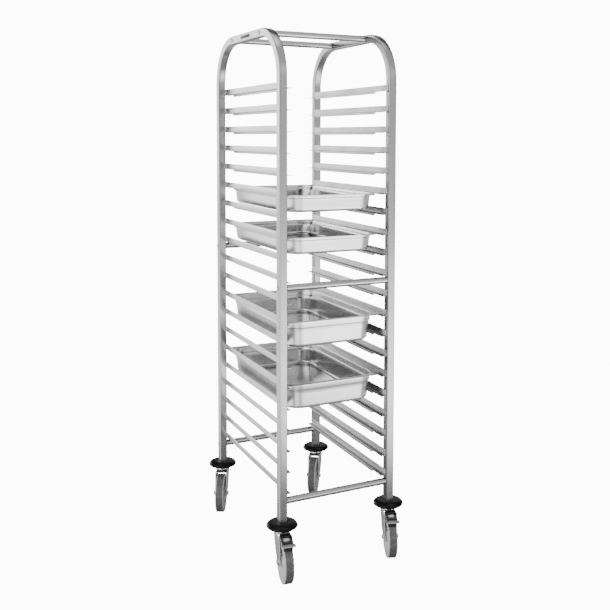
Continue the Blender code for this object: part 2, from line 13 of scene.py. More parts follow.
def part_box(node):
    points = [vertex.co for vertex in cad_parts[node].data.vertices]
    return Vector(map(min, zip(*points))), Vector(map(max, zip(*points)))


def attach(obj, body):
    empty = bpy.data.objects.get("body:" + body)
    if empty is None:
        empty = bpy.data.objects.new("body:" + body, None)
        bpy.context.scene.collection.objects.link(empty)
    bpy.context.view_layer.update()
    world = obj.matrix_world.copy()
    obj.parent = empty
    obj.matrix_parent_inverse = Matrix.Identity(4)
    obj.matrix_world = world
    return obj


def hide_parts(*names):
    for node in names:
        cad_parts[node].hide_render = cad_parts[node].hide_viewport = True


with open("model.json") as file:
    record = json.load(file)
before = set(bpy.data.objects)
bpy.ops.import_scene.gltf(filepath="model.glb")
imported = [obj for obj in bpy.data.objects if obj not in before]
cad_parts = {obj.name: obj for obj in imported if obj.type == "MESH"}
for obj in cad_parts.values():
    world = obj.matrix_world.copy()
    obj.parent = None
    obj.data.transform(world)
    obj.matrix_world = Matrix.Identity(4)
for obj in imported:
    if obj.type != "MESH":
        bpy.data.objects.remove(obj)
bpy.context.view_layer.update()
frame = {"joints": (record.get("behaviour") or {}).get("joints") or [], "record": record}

# Sheet and tube sizes that the frame's boxes don't give
TUBE_SIZE = 0.025
TUBE_WALL = 0.0015
TUBE_CORNER = 0.0030
BEND_RADIUS = 0.150
WALL_INNER_X = 0.165
LEVELS = 20
LEDGE_SHEET = 0.0012
LEDGE_WIDTH = 0.015
LEDGE_WEB = 0.018
LEDGE_LIP = 0.008
LEDGE_BEND = 0.0008
LEDGE_END_INSET = 0.007
LIP_END_INSET = 0.060
LIP_RUN_OUT = 0.010
WELD_REACH = 0.0018
BAR_BORE = 0.0033
SCREW_SHANK = 0.0030
SCREW_HEAD_RADIUS = 0.0062
SCREW_HEAD_HEIGHT = 0.0036
SOCKET_FLATS = 0.0040

# Blank plate on the left arch
PLATE_LENGTH = 0.080
PLATE_WIDTH = 0.0095
PLATE_SHEET = 0.0004
PLATE_Y = 0.026

# Caster sizes, with the swivel axis on Z and the wheel trailing towards -Y
TYRE_HALF = 0.014
TYRE_DEPTH = 0.018
HUB_HALF = 0.012
AXLE_RADIUS = 0.0050
AXLE_FLANGE = 0.0085
AXLE_FLATS = 0.013
FORK_SHEET = 0.0025
FORK_HALF = 0.020
FORK_BEND = 0.0045
FORK_EYE = 0.014
FORK_PLATE_OVER_WHEEL = 0.009
RACE_RADIUS = 0.024
STEM_RADIUS = 0.006
PIN_RADIUS = 0.0025
PIN_BACK = 0.005
PIN_DROP = 0.0055
PEDAL_SHEET = 0.0022
PEDAL_LENGTH = 0.040
PEDAL_HALF = 0.0167
PEDAL_SLOPE = math.radians(12)
LIP_LENGTH = 0.016
LIP_HALF = 0.0215
COVER_HEIGHT = 0.008
SHOE_GAP = 0.0028

# Pans
PAN_FLANGE = 0.015
PAN_SHEET = 0.0010
PAN_CORNER = 0.055
PAN_DRAFT = 0.09
PAN_SHOULDER = 0.0025
PAN_FLOOR_ROUND = 0.012
PAN_SHOULDER_DEPTH = {
    "pan_level_15": 0.009,
    "pan_level_13": 0.009,
    "pan_level_9": 0.020,
    "pan_level_6": 0.020,
}

# Studio: the camera alone sees BACKDROP. The pieces see ROOM_LIGHT all round and a floor that
# glows by FLOOR_NEAR everywhere, FLOOR_SIDE to the left and FLOOR_FAR mostly towards FLOOR_AIM.
BACKDROP = 12.0
ROOM_LIGHT = 0.04
FLOOR_NEAR = 0.05
FLOOR_SIDE = 1.3
FLOOR_FAR = 3.4
FLOOR_AIM = (0.42, -0.91, 0.0)

# Soft lights as (direction, edge, middle, strength), where edge and middle are cosines of the
# angle from that direction
SOFTBOXES = (
    ((-0.50, 0.86, 0.05), 0.80, 0.97, 3.6),
    ((0.60, 0.80, 0.30), 0.90, 0.97, 0.6),
    ((0.42, -0.91, 0.10), 0.88, 0.98, 0.8),
    ((0.25, -0.62, 0.74), 0.66, 0.96, 0.75),
    ((0.05, 0.10, 1.0), 0.88, 0.96, 1.8),
    ((-0.88, -0.35, 0.30), 0.82, 0.97, 3.8),
)

CORNERS = ("front_left", "front_right", "rear_left", "rear_right")
BARS = (
    "top_front_bar", "top_rear_bar", "middle_front_bar",
    "middle_rear_bar", "bottom_front_bar", "bottom_rear_bar",
)
JOINTS = {joint["name"]: joint for joint in frame["joints"]}
MOUNTS = {mount["name"]: mount for mount in frame["record"]["mounts"]}


# ---------------------------------------------------------------- materials


class Value:
    """A number on a surface: an output socket that takes part in Python arithmetic."""

    def __init__(self, nodes, socket):
        self.nodes = nodes
        self.socket = socket

    def combine(self, operation, first, second=None):
        return self.nodes.node("ShaderNodeMath", {"operation": operation}, {0: first, 1: second})

    def __add__(self, other):
        return self.combine("ADD", self, other)

    def __sub__(self, other):
        return self.combine("SUBTRACT", self, other)

    def __rsub__(self, other):
        return self.combine("SUBTRACT", other, self)

    def __mul__(self, other):
        return self.combine("MULTIPLY", self, other)

    def __truediv__(self, other):
        return self.combine("DIVIDE", self, other)

    __radd__ = __add__
    __rmul__ = __mul__

    def stepped(self, low, high):
        """0 below low, 1 above high, smooth in between."""
        settings = {"interpolation_type": "SMOOTHSTEP"}
        return self.nodes.node("ShaderNodeMapRange", settings, {0: self, 1: low, 2: high})


class Nodes:
    """A node tree and the one way in which a node is added to it."""

    def __init__(self, tree):
        self.tree = tree

    def node(self, kind, settings=None, inputs=None, output=0):
        """Adds a node: its settings first, then the values or links of its inputs."""
        made = self.tree.nodes.new(kind)
        for key, value in (settings or {}).items():
            setattr(made, key, value)
        for key, value in (inputs or {}).items():
            self.feed(made.inputs[key], value)
        return Value(self, made.outputs[output])

    def feed(self, socket, value):
        if isinstance(value, Value):
            self.tree.links.new(value.socket, socket)
        elif value is not None:
            socket.default_value = value


class Finish(Nodes):
    """A Principled material whose pattern is built from nodes."""

    def __init__(self, name, colour, roughness, metallic=0.0, **constants):
        self.material = bpy.data.materials.new(name)
        self.material.use_nodes = True
        super().__init__(self.material.node_tree)
        self.shader = self.tree.nodes["Principled BSDF"]
        self.colour = (*colour, 1.0)
        self.roughness = roughness
        self.shader.inputs["Base Color"].default_value = self.colour
        self.shader.inputs["Roughness"].default_value = roughness
        self.shader.inputs["Metallic"].default_value = metallic
        for socket, value in constants.items():
            self.shader.inputs[socket.replace("_", " ")].default_value = value

    def place(self, scale=(1, 1, 1)):
        """Object coordinates, stretched."""
        source = self.node("ShaderNodeTexCoord", output="Object")
        return self.node("ShaderNodeMapping", None, {"Vector": source, "Scale": scale})

    def noise(self, at, scale, detail=2.0, roughness=0.5):
        inputs = {"Vector": at, "Scale": scale, "Detail": detail, "Roughness": roughness}
        return self.node("ShaderNodeTexNoise", None, inputs)

    def mix(self, factor, first, second):
        """Between two colours."""
        return self.node("ShaderNodeMix", {"data_type": "RGBA"}, {0: factor, 6: first, 7: second}, 2)

    def shade(self, factor, other):
        """The finish's own colour, turning into another where the factor is 1."""
        self.feed(self.shader.inputs["Base Color"], self.mix(factor, self.colour, (*other, 1.0)))

    def rough(self, value):
        self.feed(self.shader.inputs["Roughness"], value)

    def bump(self, height, strength, distance):
        inputs = {"Height": height, "Strength": strength, "Distance": distance}
        normal = self.node("ShaderNodeBump", None, inputs)
        self.feed(self.shader.inputs["Normal"], normal)


def painted_inward_shade(finish):
    """1 on faces that look towards the middle of the rack, where the colour is painted darker as painted
    shade.
    """
    across = finish.node("ShaderNodeSeparateXYZ", None, {0: finish.place()}, "X")
    facing = finish.node("ShaderNodeNewGeometry", output="True Normal")
    facing = finish.node("ShaderNodeSeparateXYZ", None, {0: facing}, "X")
    inward = (across * facing) / -WALL_INNER_X
    return inward.stepped(0.4, 0.8)


def brushed(name, colour, roughness, grain, depth=0.00006, inward_shaded=True):
    """Satin stainless sheet or bar with its polishing lines along one axis."""
    finish = Finish(name, colour, roughness, 1.0)
    lines = finish.noise(finish.place(grain), 1.0, 3.0, 0.6)
    smear = finish.noise(finish.place(), 9.0, 3.0)
    # Faces towards the middle of the rack get painted shade: their colour is painted darker.
    inward_shade_mask = painted_inward_shade(finish) if inward_shaded else 0.0
    finish.rough(roughness - 0.10 + lines * 0.14 + smear * 0.08)
    finish.shade((lines - 0.42) * 0.9 + (smear - 0.5) * 0.6 + inward_shade_mask * 0.7, tuple(c * 0.50 for c in colour))
    finish.bump(lines, 0.5, depth)
    return finish.material


def brushed_tube(name):
    """Satin tube: the polishing lines follow the tube round its bends."""
    finish = Finish(name, (0.45, 0.45, 0.455), 0.24, 1.0)
    grain = finish.node("ShaderNodeAttribute", {"attribute_name": "grain"}, output="Vector")
    along = finish.node("ShaderNodeMapping", None, {"Vector": grain, "Scale": (14, 900, 900)})
    lines = finish.noise(along, 1.0, 3.0, 0.6)
    smear = finish.noise(finish.place((6, 6, 3)), 1.0, 3.0)
    finish.rough(0.12 + lines * 0.14 + smear * 0.10)
    # Faces towards the middle of the rack get painted shade: their colour is painted darker.
    inward_shade_mask = painted_inward_shade(finish)
    finish.shade((lines - 0.42) * 0.9 + (smear - 0.45) * 0.9 + inward_shade_mask * 0.7, (0.24, 0.24, 0.245))
    finish.bump(lines, 0.5, 0.00006)
    return finish.material


def pan_steel():
    """Drawn and polished steel: soft waves from the press, fine rubbing marks on the floor."""
    finish = Finish("polished_steel", (0.86, 0.86, 0.865), 0.19, 1.0)
    rubbing = finish.noise(finish.place((260, 22, 260)), 1.0, 4.0, 0.65)
    waves = finish.noise(finish.place((1, 1, 2)), 13.0, 2.0)
    marks = finish.noise(finish.place((1, 1, 1)), 60.0, 5.0, 0.7)
    inner = finish.node("ShaderNodeAttribute", {"attribute_name": "inner_skin"}, output="Fac")
    finish.rough(0.22 + rubbing * 0.10 + waves * 0.06 - inner * 0.12)
    # The inner skin is painted darker: painted shade inside the pans. The marks are random darker spots.
    finish.shade(marks.stepped(0.58, 0.80) * 0.25 + inner * 0.50, (0.34, 0.34, 0.345))
    finish.bump(waves + rubbing * 0.05, 0.30, 0.00018)
    return finish.material


def bright_steel():
    """Turned steel with rings from the tool and a little grime."""
    finish = Finish("bright_steel", (0.70, 0.70, 0.69), 0.20, 1.0)
    grime = finish.noise(finish.place(), 240.0, 3.0)
    finish.rough(0.14 + grime * 0.16)
    finish.shade(grime.stepped(0.55, 0.75) * 0.5, (0.42, 0.42, 0.41))
    finish.bump(grime, 0.2, 0.00005)
    return finish.material


def zinc_plate():
    """Bright zinc with its faint spangle and a cooler tint in patches."""
    finish = Finish("zinc_plated_steel", (0.88, 0.89, 0.90), 0.32, 1.0)
    cells = {"feature": "F1"}
    spangle = finish.node("ShaderNodeTexVoronoi", cells, {"Vector": finish.place(), "Scale": 320.0})
    patches = finish.noise(finish.place(), 45.0, 3.0)
    finish.rough(0.26 + spangle * 0.08 + patches * 0.10)
    finish.shade(patches.stepped(0.45, 0.75) * 0.5, (0.68, 0.70, 0.74))
    finish.bump(spangle + patches, 0.15, 0.0001)
    return finish.material


def tyre_rubber():
    """Grey rubber: a dark tread between side walls painted lighter, a painted highlight that stands in
    for the key light on the side faces.
    """
    finish = Finish("grey_rubber", (0.12, 0.12, 0.125), 0.55)
    dust = finish.noise(finish.place(), 70.0, 5.0, 0.7)
    pores = finish.noise(finish.place(), 1400.0, 2.0)
    wall = finish.node("ShaderNodeAttribute", {"attribute_name": "painted_light_wall"}, output="Fac")
    finish.rough(0.48 + dust * 0.25)
    # The side walls are painted lighter: painted light from the key light on the side faces.
    finish.shade(wall * 0.85 + dust.stepped(0.42, 0.78) * 0.15, (0.64, 0.64, 0.64))
    finish.bump(pores + dust, 0.3, 0.00012)
    return finish.material


def hub_plastic():
    """Light grey moulded plastic with a fine sparked grain."""
    finish = Finish("grey_plastic", (0.66, 0.66, 0.66), 0.42)
    grain = finish.noise(finish.place(), 1100.0, 2.0)
    scuffs = finish.noise(finish.place(), 55.0, 5.0, 0.7)
    finish.rough(0.36 + scuffs * 0.16)
    finish.shade(scuffs.stepped(0.50, 0.80) * 0.5, (0.48, 0.48, 0.48))
    finish.bump(grain, 0.25, 0.00008)
    return finish.material


def bumper_rubber():
    """Glossy black moulded rubber with a light bloom of dust."""
    finish = Finish("black_rubber", (0.007, 0.007, 0.007), 0.20, Specular_IOR_Level=0.12)
    dust = finish.noise(finish.place(), 85.0, 5.0, 0.7)
    finish.rough(0.16 + dust * 0.16)
    finish.shade(dust.stepped(0.50, 0.85) * 0.5, (0.018, 0.018, 0.018))
    finish.bump(dust, 0.10, 0.0002)
    return finish.material


def black_plastic():
    """Satin black nylon with a sparked grain."""
    finish = Finish("black_plastic", (0.014, 0.014, 0.015), 0.38)
    grain = finish.noise(finish.place(), 1300.0, 2.0)
    wear = finish.noise(finish.place(), 90.0, 4.0, 0.7)
    finish.rough(0.30 + wear * 0.20)
    finish.shade(wear.stepped(0.55, 0.85) * 0.6, (0.040, 0.040, 0.041))
    finish.bump(grain, 0.30, 0.0001)
    return finish.material


def make_finishes():
    steel = (0.56, 0.56, 0.565)
    return {
        "tube": brushed_tube("satin_steel_tube"),
        "ledge": brushed("satin_steel_ledge", steel, 0.30, (700, 9, 700)),
        "bar": brushed("satin_steel_bar", (0.50, 0.50, 0.505), 0.20, (9, 700, 700), inward_shaded=False),
        "weld": brushed("welded_steel", (0.55, 0.54, 0.52), 0.36, (300, 300, 300), 0.0002, False),
        "screw": bright_steel(),
        "zinc": zinc_plate(),
        "pan": pan_steel(),
        "tyre": tyre_rubber(),
        "hub": hub_plastic(),
        "bumper": bumper_rubber(),
        "plastic": black_plastic(),
    }


# ---------------------------------------------------------------- modelling


def only(thing):
    """Selects one object and makes it active."""
    bpy.ops.object.select_all(action="DESELECT")
    thing.select_set(True)
    bpy.context.view_layer.objects.active = thing


def pick_points(thing, test):
    """In edit mode, selects the points whose number passes, and what lies between them."""
    bpy.ops.mesh.select_mode(type="VERT")
    bpy.ops.mesh.select_all(action="DESELECT")
    shape = bmesh.from_edit_mesh(thing.data)
    for point in shape.verts:
        point.select_set(test(point.index))
    shape.select_flush(True)
    bmesh.update_edit_mesh(thing.data)


def loft(name, rings, ends="capped"):
    """Extrudes a circle of points ring by ring; the ends are capped, or the last meets the first.

    The grain attribute holds how far a point lies along the rings and round them, and the ring
    attribute the number of its ring.
    """
    count = len(rings[0])
    bpy.ops.object.select_all(action="DESELECT")
    bpy.ops.mesh.primitive_circle_add(vertices=count, radius=1.0)
    thing = bpy.context.object
    thing.name = name
    thing.data.name = name
    spots = {number: (0, number) for number in range(count)}
    bpy.ops.object.mode_set(mode="EDIT")
    bpy.ops.mesh.select_all(action="SELECT")
    shape = bmesh.from_edit_mesh(thing.data)
    for point in shape.verts:
        point.co = rings[0][point.index]
    for step, ring in enumerate(rings[1:], 1):
        bpy.ops.mesh.extrude_region_move()
        shape = bmesh.from_edit_mesh(thing.data)
        shape.verts.index_update()
        for point in [p for p in shape.verts if p.select]:
            others = (edge.other_vert(point) for edge in point.link_edges)
            below = next(other for other in others if not other.select)
            position = spots[below.index][1]
            spots[point.index] = (step, position)
            point.co = ring[position]
    last = len(rings) - 1
    if ends == "capped":
        for end in (0, last):
            pick_points(thing, lambda number: spots[number][0] == end)
            bpy.ops.mesh.edge_face_add()
    elif ends == "joined":
        bpy.ops.mesh.select_all(action="DESELECT")
        bpy.ops.mesh.select_mode(type="EDGE")
        bpy.ops.mesh.select_non_manifold()
        bpy.ops.mesh.bridge_edge_loops()
    bpy.ops.mesh.select_all(action="SELECT")
    bpy.ops.mesh.normals_make_consistent(inside=False)
    bpy.ops.object.mode_set(mode="OBJECT")
    along = [0.0]
    for low, high in zip(rings, rings[1:]):
        along.append(along[-1] + (Vector(high[0]) - Vector(low[0])).length)
    around = [0.0]
    for first, second in zip(rings[0], rings[0][1:]):
        around.append(around[-1] + (Vector(second) - Vector(first)).length)
    thing.data.attributes.new("grain", "FLOAT_VECTOR", "POINT")
    thing.data.attributes.new("ring", "INT", "POINT")
    for number, (step, position) in spots.items():
        thing.data.attributes["grain"].data[number].vector = (along[step], around[position], 0.0)
        thing.data.attributes["ring"].data[number].value = step
    return thing


def circle(radius, sides, z):
    turns = [2 * math.pi * k / sides for k in range(sides)]
    return [(radius * math.cos(t), radius * math.sin(t), z) for t in turns]


def hexagon(flats, sides, z):
    """A six-sided ring with as many points as a circle of that many sides, a multiple of 12."""
    ring = []
    for k in range(sides):
        turn = 2 * math.pi * k / sides
        slice_turn = (turn % (math.pi / 3)) - math.pi / 6
        radius = flats / 2 / math.cos(slice_turn)
        ring.append((radius * math.cos(turn), radius * math.sin(turn), z))
    return ring


def turned(name, profile, sides, ends="capped"):
    """A (radius, height) profile turned about Z."""
    return loft(name, [circle(r, sides, z) for r, z in profile], ends)


def prism(name, outline, x0, x1):
    """A (y, z) outline with straight walls from x0 to x1."""
    return loft(name, [[(x, y, z) for y, z in outline] for x in (x0, x1)])


def arc(centre, radius, start, end, steps):
    turns = [start + (end - start) * k / steps for k in range(steps + 1)]
    return [(centre[0] + radius * math.cos(t), centre[1] + radius * math.sin(t)) for t in turns]


def round_box(half_x, half_y, radius, z, steps):
    """A ring round a rectangle with round corners."""
    ring = []
    for side_x, side_y, start in ((1, 1, 0), (-1, 1, 90), (-1, -1, 180), (1, -1, 270)):
        centre = (side_x * (half_x - radius), side_y * (half_y - radius))
        begin = math.radians(start)
        ring += [(x, y, z) for x, y in arc(centre, radius, begin, begin + math.pi / 2, steps)]
    return ring


def modify(thing, kind, **settings):
    """Adds a modifier and applies it."""
    only(thing)
    step = thing.modifiers.new(kind.lower(), kind)
    for key, value in settings.items():
        setattr(step, key, value)
    bpy.ops.object.modifier_apply(modifier=step.name)


def soften(thing, width, segments=2, degrees=32):
    """Rounds every sharp edge."""
    settings = {"limit_method": "ANGLE", "angle_limit": math.radians(degrees)}
    modify(thing, "BEVEL", width=width, segments=segments, **settings)


def join(thing, other, operation="UNION"):
    """Joins, cuts or trims with another shape, which is used up."""
    modify(thing, "BOOLEAN", object=other, operation=operation, solver="EXACT")
    bpy.data.objects.remove(other, do_unlink=True)


def smooth(thing, degrees=35):
    only(thing)
    bpy.ops.object.shade_smooth_by_angle(angle=math.radians(degrees))


def move(thing, matrix):
    """Puts the place into the mesh; a mirrored shape is turned right side out."""
    thing.data.transform(matrix)
    if matrix.determinant() < 0:
        thing.data.flip_normals()
    thing.data.update()


def copy(thing, name, matrix):
    twin = thing.copy()
    twin.data = thing.data.copy()
    twin.name = name
    twin.data.name = name
    bpy.context.collection.objects.link(twin)
    move(twin, matrix)
    return twin


def hand_over(thing, body, finish, slot, *nodes):
    """Gives a finished piece its material and its body, and hides the nodes it stands for; the slot is
    not used.
    """
    thing.data.materials.clear()
    thing.data.materials.append(finish)
    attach(thing, body)
    if nodes:
        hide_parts(*nodes)


# ---------------------------------------------------------------- frame


def arch_rings(x, inset, stations):
    """Square rings along the bent tube from the front foot to the rear foot."""
    half = TUBE_SIZE / 2 - inset
    section = round_box(half, half, TUBE_CORNER - inset, 0, 5)
    rings = []
    for y, z, angle in stations:
        out = Vector((0, math.cos(angle), math.sin(angle)))
        rings.append([Vector((x + s, y, z)) + out * t for s, t, _ in section])
    return rings


def arch_stations(low, high):
    """Middle points and outward directions along the tube; straight runs are divided too."""
    bend = BEND_RADIUS - TUBE_SIZE / 2
    front, rear = low.y + TUBE_SIZE / 2, high.y - TUBE_SIZE / 2
    bend_z = high.z - TUBE_SIZE / 2 - bend
    stations = [(front, low.z + (bend_z - low.z) * k / 12, math.pi) for k in range(12)]
    for centre_y, start in ((front + bend, math.pi), (rear - bend, math.pi / 2)):
        for k in range(25):
            angle = start - math.pi / 2 * k / 24
            stations.append((centre_y + bend * math.cos(angle), bend_z + bend * math.sin(angle), angle))
    stations += [(rear, low.z + (bend_z - low.z) * k / 12, 0.0) for k in range(11, -1, -1)]
    return stations


def side_tube(node, side):
    low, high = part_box(node)
    x = (high.x if side > 0 else low.x) - side * TUBE_SIZE / 2
    stations = arch_stations(low, high)
    outer = arch_rings(x, 0.0, stations)
    inner = arch_rings(x, TUBE_WALL, stations)
    tube = loft(node.replace("frame", "tube"), outer + inner[::-1], "joined")
    smooth(tube, 50)
    return tube


def ledge_section(lip):
    """(inward, up) outline of the Z section, with the lip turned down by the given depth."""
    bend = LEDGE_BEND + LEDGE_SHEET
    inner = LEDGE_WIDTH - bend
    quarter = math.pi / 2
    outline = [(0.0, LEDGE_WEB)]
    outline += arc((bend, bend - LEDGE_SHEET), bend, 2 * quarter, 3 * quarter, 4)
    outline += arc((inner, -bend), LEDGE_BEND, quarter, 0, 3)
    outline += [(LEDGE_WIDTH - LEDGE_SHEET, -lip), (LEDGE_WIDTH, -lip)]
    outline += arc((inner, -bend), bend, 0, quarter, 4)
    outline += arc((bend, bend - LEDGE_SHEET), LEDGE_BEND, 3 * quarter, 2 * quarter, 3)
    outline += [(LEDGE_SHEET, LEDGE_WEB)]
    return outline


def ledge(low, high):
    """One ledge with its outer skin at X = 0 reaching to +X, and its top face at Z = 0."""
    short = LEDGE_BEND + LEDGE_SHEET + 0.0004
    front, rear = low.y + LEDGE_END_INSET, high.y - LEDGE_END_INSET
    lip_front, lip_rear = low.y + LIP_END_INSET, high.y - LIP_END_INSET
    runs = [(front, short), (lip_front, short)]
    for k in range(1, 5):
        rise = math.sin(math.pi / 2 * k / 4)
        runs.append((lip_front + LIP_RUN_OUT * k / 4, short + (LEDGE_LIP - short) * rise))
    runs += [(lip_front + lip_rear - y, lip) for y, lip in reversed(runs[1:])] + [(rear, short)]
    rings = [[(u, y, v) for u, v in ledge_section(lip)] for y, lip in runs]
    piece = loft("ledge_master", rings)
    soften(piece, 0.00018, 2, 50)
    smooth(piece, 40)
    return piece


def weld_bead(name, length):
    """A short fillet weld: a row of overlapping ripples along Z."""
    rings = []
    steps = 36
    ripples = 9
    for k in range(steps + 1):
        share = k / steps
        fall = math.sin(math.pi * share) ** 0.35 if 0 < share < 1 else 0.25
        radius = WELD_REACH * fall * (1 + 0.10 * math.cos(2 * math.pi * share * ripples))
        rings.append(circle(radius, 10, length * (share - 0.5)))
    bead = loft(name, rings)
    smooth(bead, 60)
    return bead


def side_frames(finishes):
    top = Vector(MOUNTS["ledge_left_level_20"]["pos_m"]).z
    second = Vector(MOUNTS["ledge_left_level_2"]["pos_m"]).z
    pitch = (top - second) / (LEVELS - 2)
    for hand, side in (("left", -1), ("right", 1)):
        node = f"{hand}_side_frame"
        low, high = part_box(node)
        hand_over(side_tube(node, side), "frame", finishes["tube"], "satin_steel", node)
        wall = (high.x if side > 0 else low.x) - side * TUBE_SIZE
        master = ledge(low, high)
        bead = weld_bead("bead_master", LEDGE_WEB * 0.8)
        for level in range(1, LEVELS + 1):
            base = second + (level - 2) * pitch
            turn = Matrix.Diagonal((-side, 1, 1, 1))
            place = Matrix.Translation((wall, 0, base)) @ turn
            name = f"{hand}_ledge_{level:02d}"
            hand_over(copy(master, name, place), "frame", finishes["ledge"], "satin_steel", node)
            for end, y in (("front", low.y + TUBE_SIZE), ("rear", high.y - TUBE_SIZE)):
                spot = Matrix.Translation((wall - side * 0.0002, y, base + LEDGE_WEB * 0.48))
                twin = copy(bead, f"{hand}_weld_{level:02d}_{end}", spot)
                hand_over(twin, "frame", finishes["weld"], "satin_steel", node)
        bpy.data.objects.remove(master, do_unlink=True)
        bpy.data.objects.remove(bead, do_unlink=True)


def blank_plate(finishes):
    """Plain dark plate, with no text, stuck on the outer face of the left arch."""
    low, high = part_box("left_side_frame")
    rings = [round_box(PLATE_WIDTH / 2, PLATE_LENGTH / 2, 0.002, z, 4) for z in (0, PLATE_SHEET)]
    plate = loft("left_blank_plate", rings)
    soften(plate, 0.0001, 2, 50)
    place = Matrix.Translation((low.x, PLATE_Y, high.z - TUBE_SIZE / 2))
    move(plate, place @ Matrix.Rotation(-math.pi / 2, 4, "Y"))
    smooth(plate, 40)
    hand_over(plate, "frame", finishes["bumper"], "black_rubber")


def cross_bars(finishes):
    across = Matrix.Rotation(math.pi / 2, 4, "Y")
    for name in BARS:
        low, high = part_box(name)
        radius = (high.z - low.z) / 2
        half = (high.x - low.x) / 2
        chamfer = 0.0006
        profile = [(BAR_BORE, -half), (radius - chamfer, -half), (radius, chamfer - half)]
        profile += [(radius, half * k / 4) for k in range(-3, 4)]
        profile += [(radius, half - chamfer), (radius - chamfer, half), (BAR_BORE, half)]
        bar = turned(f"{name}_tube", profile, 48, "joined")
        middle = (low + high) / 2
        move(bar, Matrix.Translation(middle) @ across)
        smooth(bar)
        hand_over(bar, "frame", finishes["bar"], "satin_steel", name)


def screw_master():
    """Button-head socket screw with its seat at Z = 0 and its head towards +Z."""
    radius, height = SCREW_HEAD_RADIUS, SCREW_HEAD_HEIGHT
    sides = 36
    rings = [circle(SCREW_SHANK, sides, -0.030), circle(SCREW_SHANK, sides, 0)]
    rings += [circle(radius - 0.0004, sides, 0), circle(radius, sides, 0.0004)]
    for k in range(1, 9):
        turn = math.radians(8 + 58 * k / 8)
        reach = radius * math.cos(turn) / math.cos(math.radians(8))
        rise = 0.0004 + (height - 0.0004) * math.sin(math.radians(90) * k / 8)
        rings.append(circle(reach, sides, rise))
    rings.append(hexagon(SOCKET_FLATS, sides, height - 0.00005))
    rings.append(hexagon(SOCKET_FLATS * 0.96, sides, height - 0.0003))
    rings.append(hexagon(SOCKET_FLATS * 0.96, sides, height - 0.0021))
    screw = loft("screw_master", rings)
    smooth(screw, 35)
    return screw


def bar_screws(finishes):
    master = screw_master()
    for bar in BARS:
        for hand, side in (("left", -1), ("right", 1)):
            name = f"{bar}_{hand}_screw"
            low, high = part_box(name)
            middle = (low + high) / 2
            face = high.x - SCREW_HEAD_HEIGHT if side > 0 else low.x + SCREW_HEAD_HEIGHT
            place = Matrix.Translation((face, middle.y, middle.z))
            turn = Matrix.Rotation(side * math.pi / 2, 4, "Y")
            piece = copy(master, f"{name}_head", place @ turn)
            hand_over(piece, "frame", finishes["screw"], "bright_steel", name)
    bpy.data.objects.remove(master, do_unlink=True)


# ---------------------------------------------------------------- casters


def bumper(low, high):
    """Domed ring with a rolled rim, a raised boss and a moulded step underneath."""
    radius = (high.x - low.x) / 2
    base, top = low.z, high.z
    edge = base + 0.0056
    hole = STEM_RADIUS + 0.0003
    boss = 0.0222
    profile = [(hole, base), (radius * 0.60, base), (radius * 0.62, base + 0.0012)]
    profile += [(radius * 0.80, base + 0.0012), (radius * 0.82, base), (radius * 0.87, base)]
    profile += [(radius * 0.965, base + 0.0022), (radius * 0.993, base + 0.0045)]
    for k in range(17):
        turn = math.pi / 2 * k / 16
        fullness = (math.cos(turn) ** 0.85, math.sin(turn) ** 0.92)
        profile.append((boss + (radius - boss) * fullness[0], edge + (top - edge) * fullness[1]))
    profile += [(boss - 0.0004, top), (hole, top)]
    piece = turned("bumper_master", profile, 72, "joined")
    smooth(piece, 40)
    return piece


def stem(low, high, cup_top, race_top, plate):
    """Stem bolt with the fixed cup above the ball race and a hex head under the fork."""
    gap = 0.0004
    sides = 48
    cup = race_top + gap
    head = plate - gap
    rings = [circle(STEM_RADIUS - 0.0008, sides, high.z), circle(STEM_RADIUS, sides, high.z - 0.0008)]
    rings += [circle(STEM_RADIUS, sides, cup_top), circle(RACE_RADIUS - 0.004, sides, cup_top)]
    rings += [circle(RACE_RADIUS - 0.0012, sides, cup_top - 0.0004)]
    rings += [circle(RACE_RADIUS + 0.0004, sides, cup_top - 0.0016)]
    rings += [circle(RACE_RADIUS + 0.0010, sides, cup + 0.0008), circle(RACE_RADIUS + 0.0010, sides, cup)]
    rings += [circle(RACE_RADIUS - 0.0004, sides, cup), circle(STEM_RADIUS, sides, cup)]
    rings += [circle(STEM_RADIUS, sides, head), hexagon(0.0165, sides, head)]
    rings += [hexagon(0.0165, sides, head - 0.0032), circle(0.0072, sides, low.z)]
    piece = loft("stem_master", rings)
    smooth(piece, 40)
    return piece


def fork_outline(trail, wheel, top):
    """(y, z) outline of a fork leg: broad under the race, round at the axle."""
    eye = arc((-trail, wheel), FORK_EYE, math.radians(-20), math.radians(-190), 14)
    pin_y, pin_z = -trail + PIN_BACK, top - PIN_DROP
    front = [(pin_y - 0.0125, pin_z - 0.020), (pin_y - 0.0118, pin_z - 0.010)]
    front += arc((pin_y - 0.0060, top - 0.0060), 0.0060, math.pi, math.pi / 2, 6)
    back = arc((0.0165, top - 0.0075), 0.0075, math.pi / 2, -0.35, 6)
    back += [(0.0195, wheel + 0.052), (0.0130, wheel + 0.038), (0.0015, wheel + 0.018)]
    back += [(-0.012, wheel + 0.004), (-0.0245, wheel - 0.0025)]
    return eye + front + back


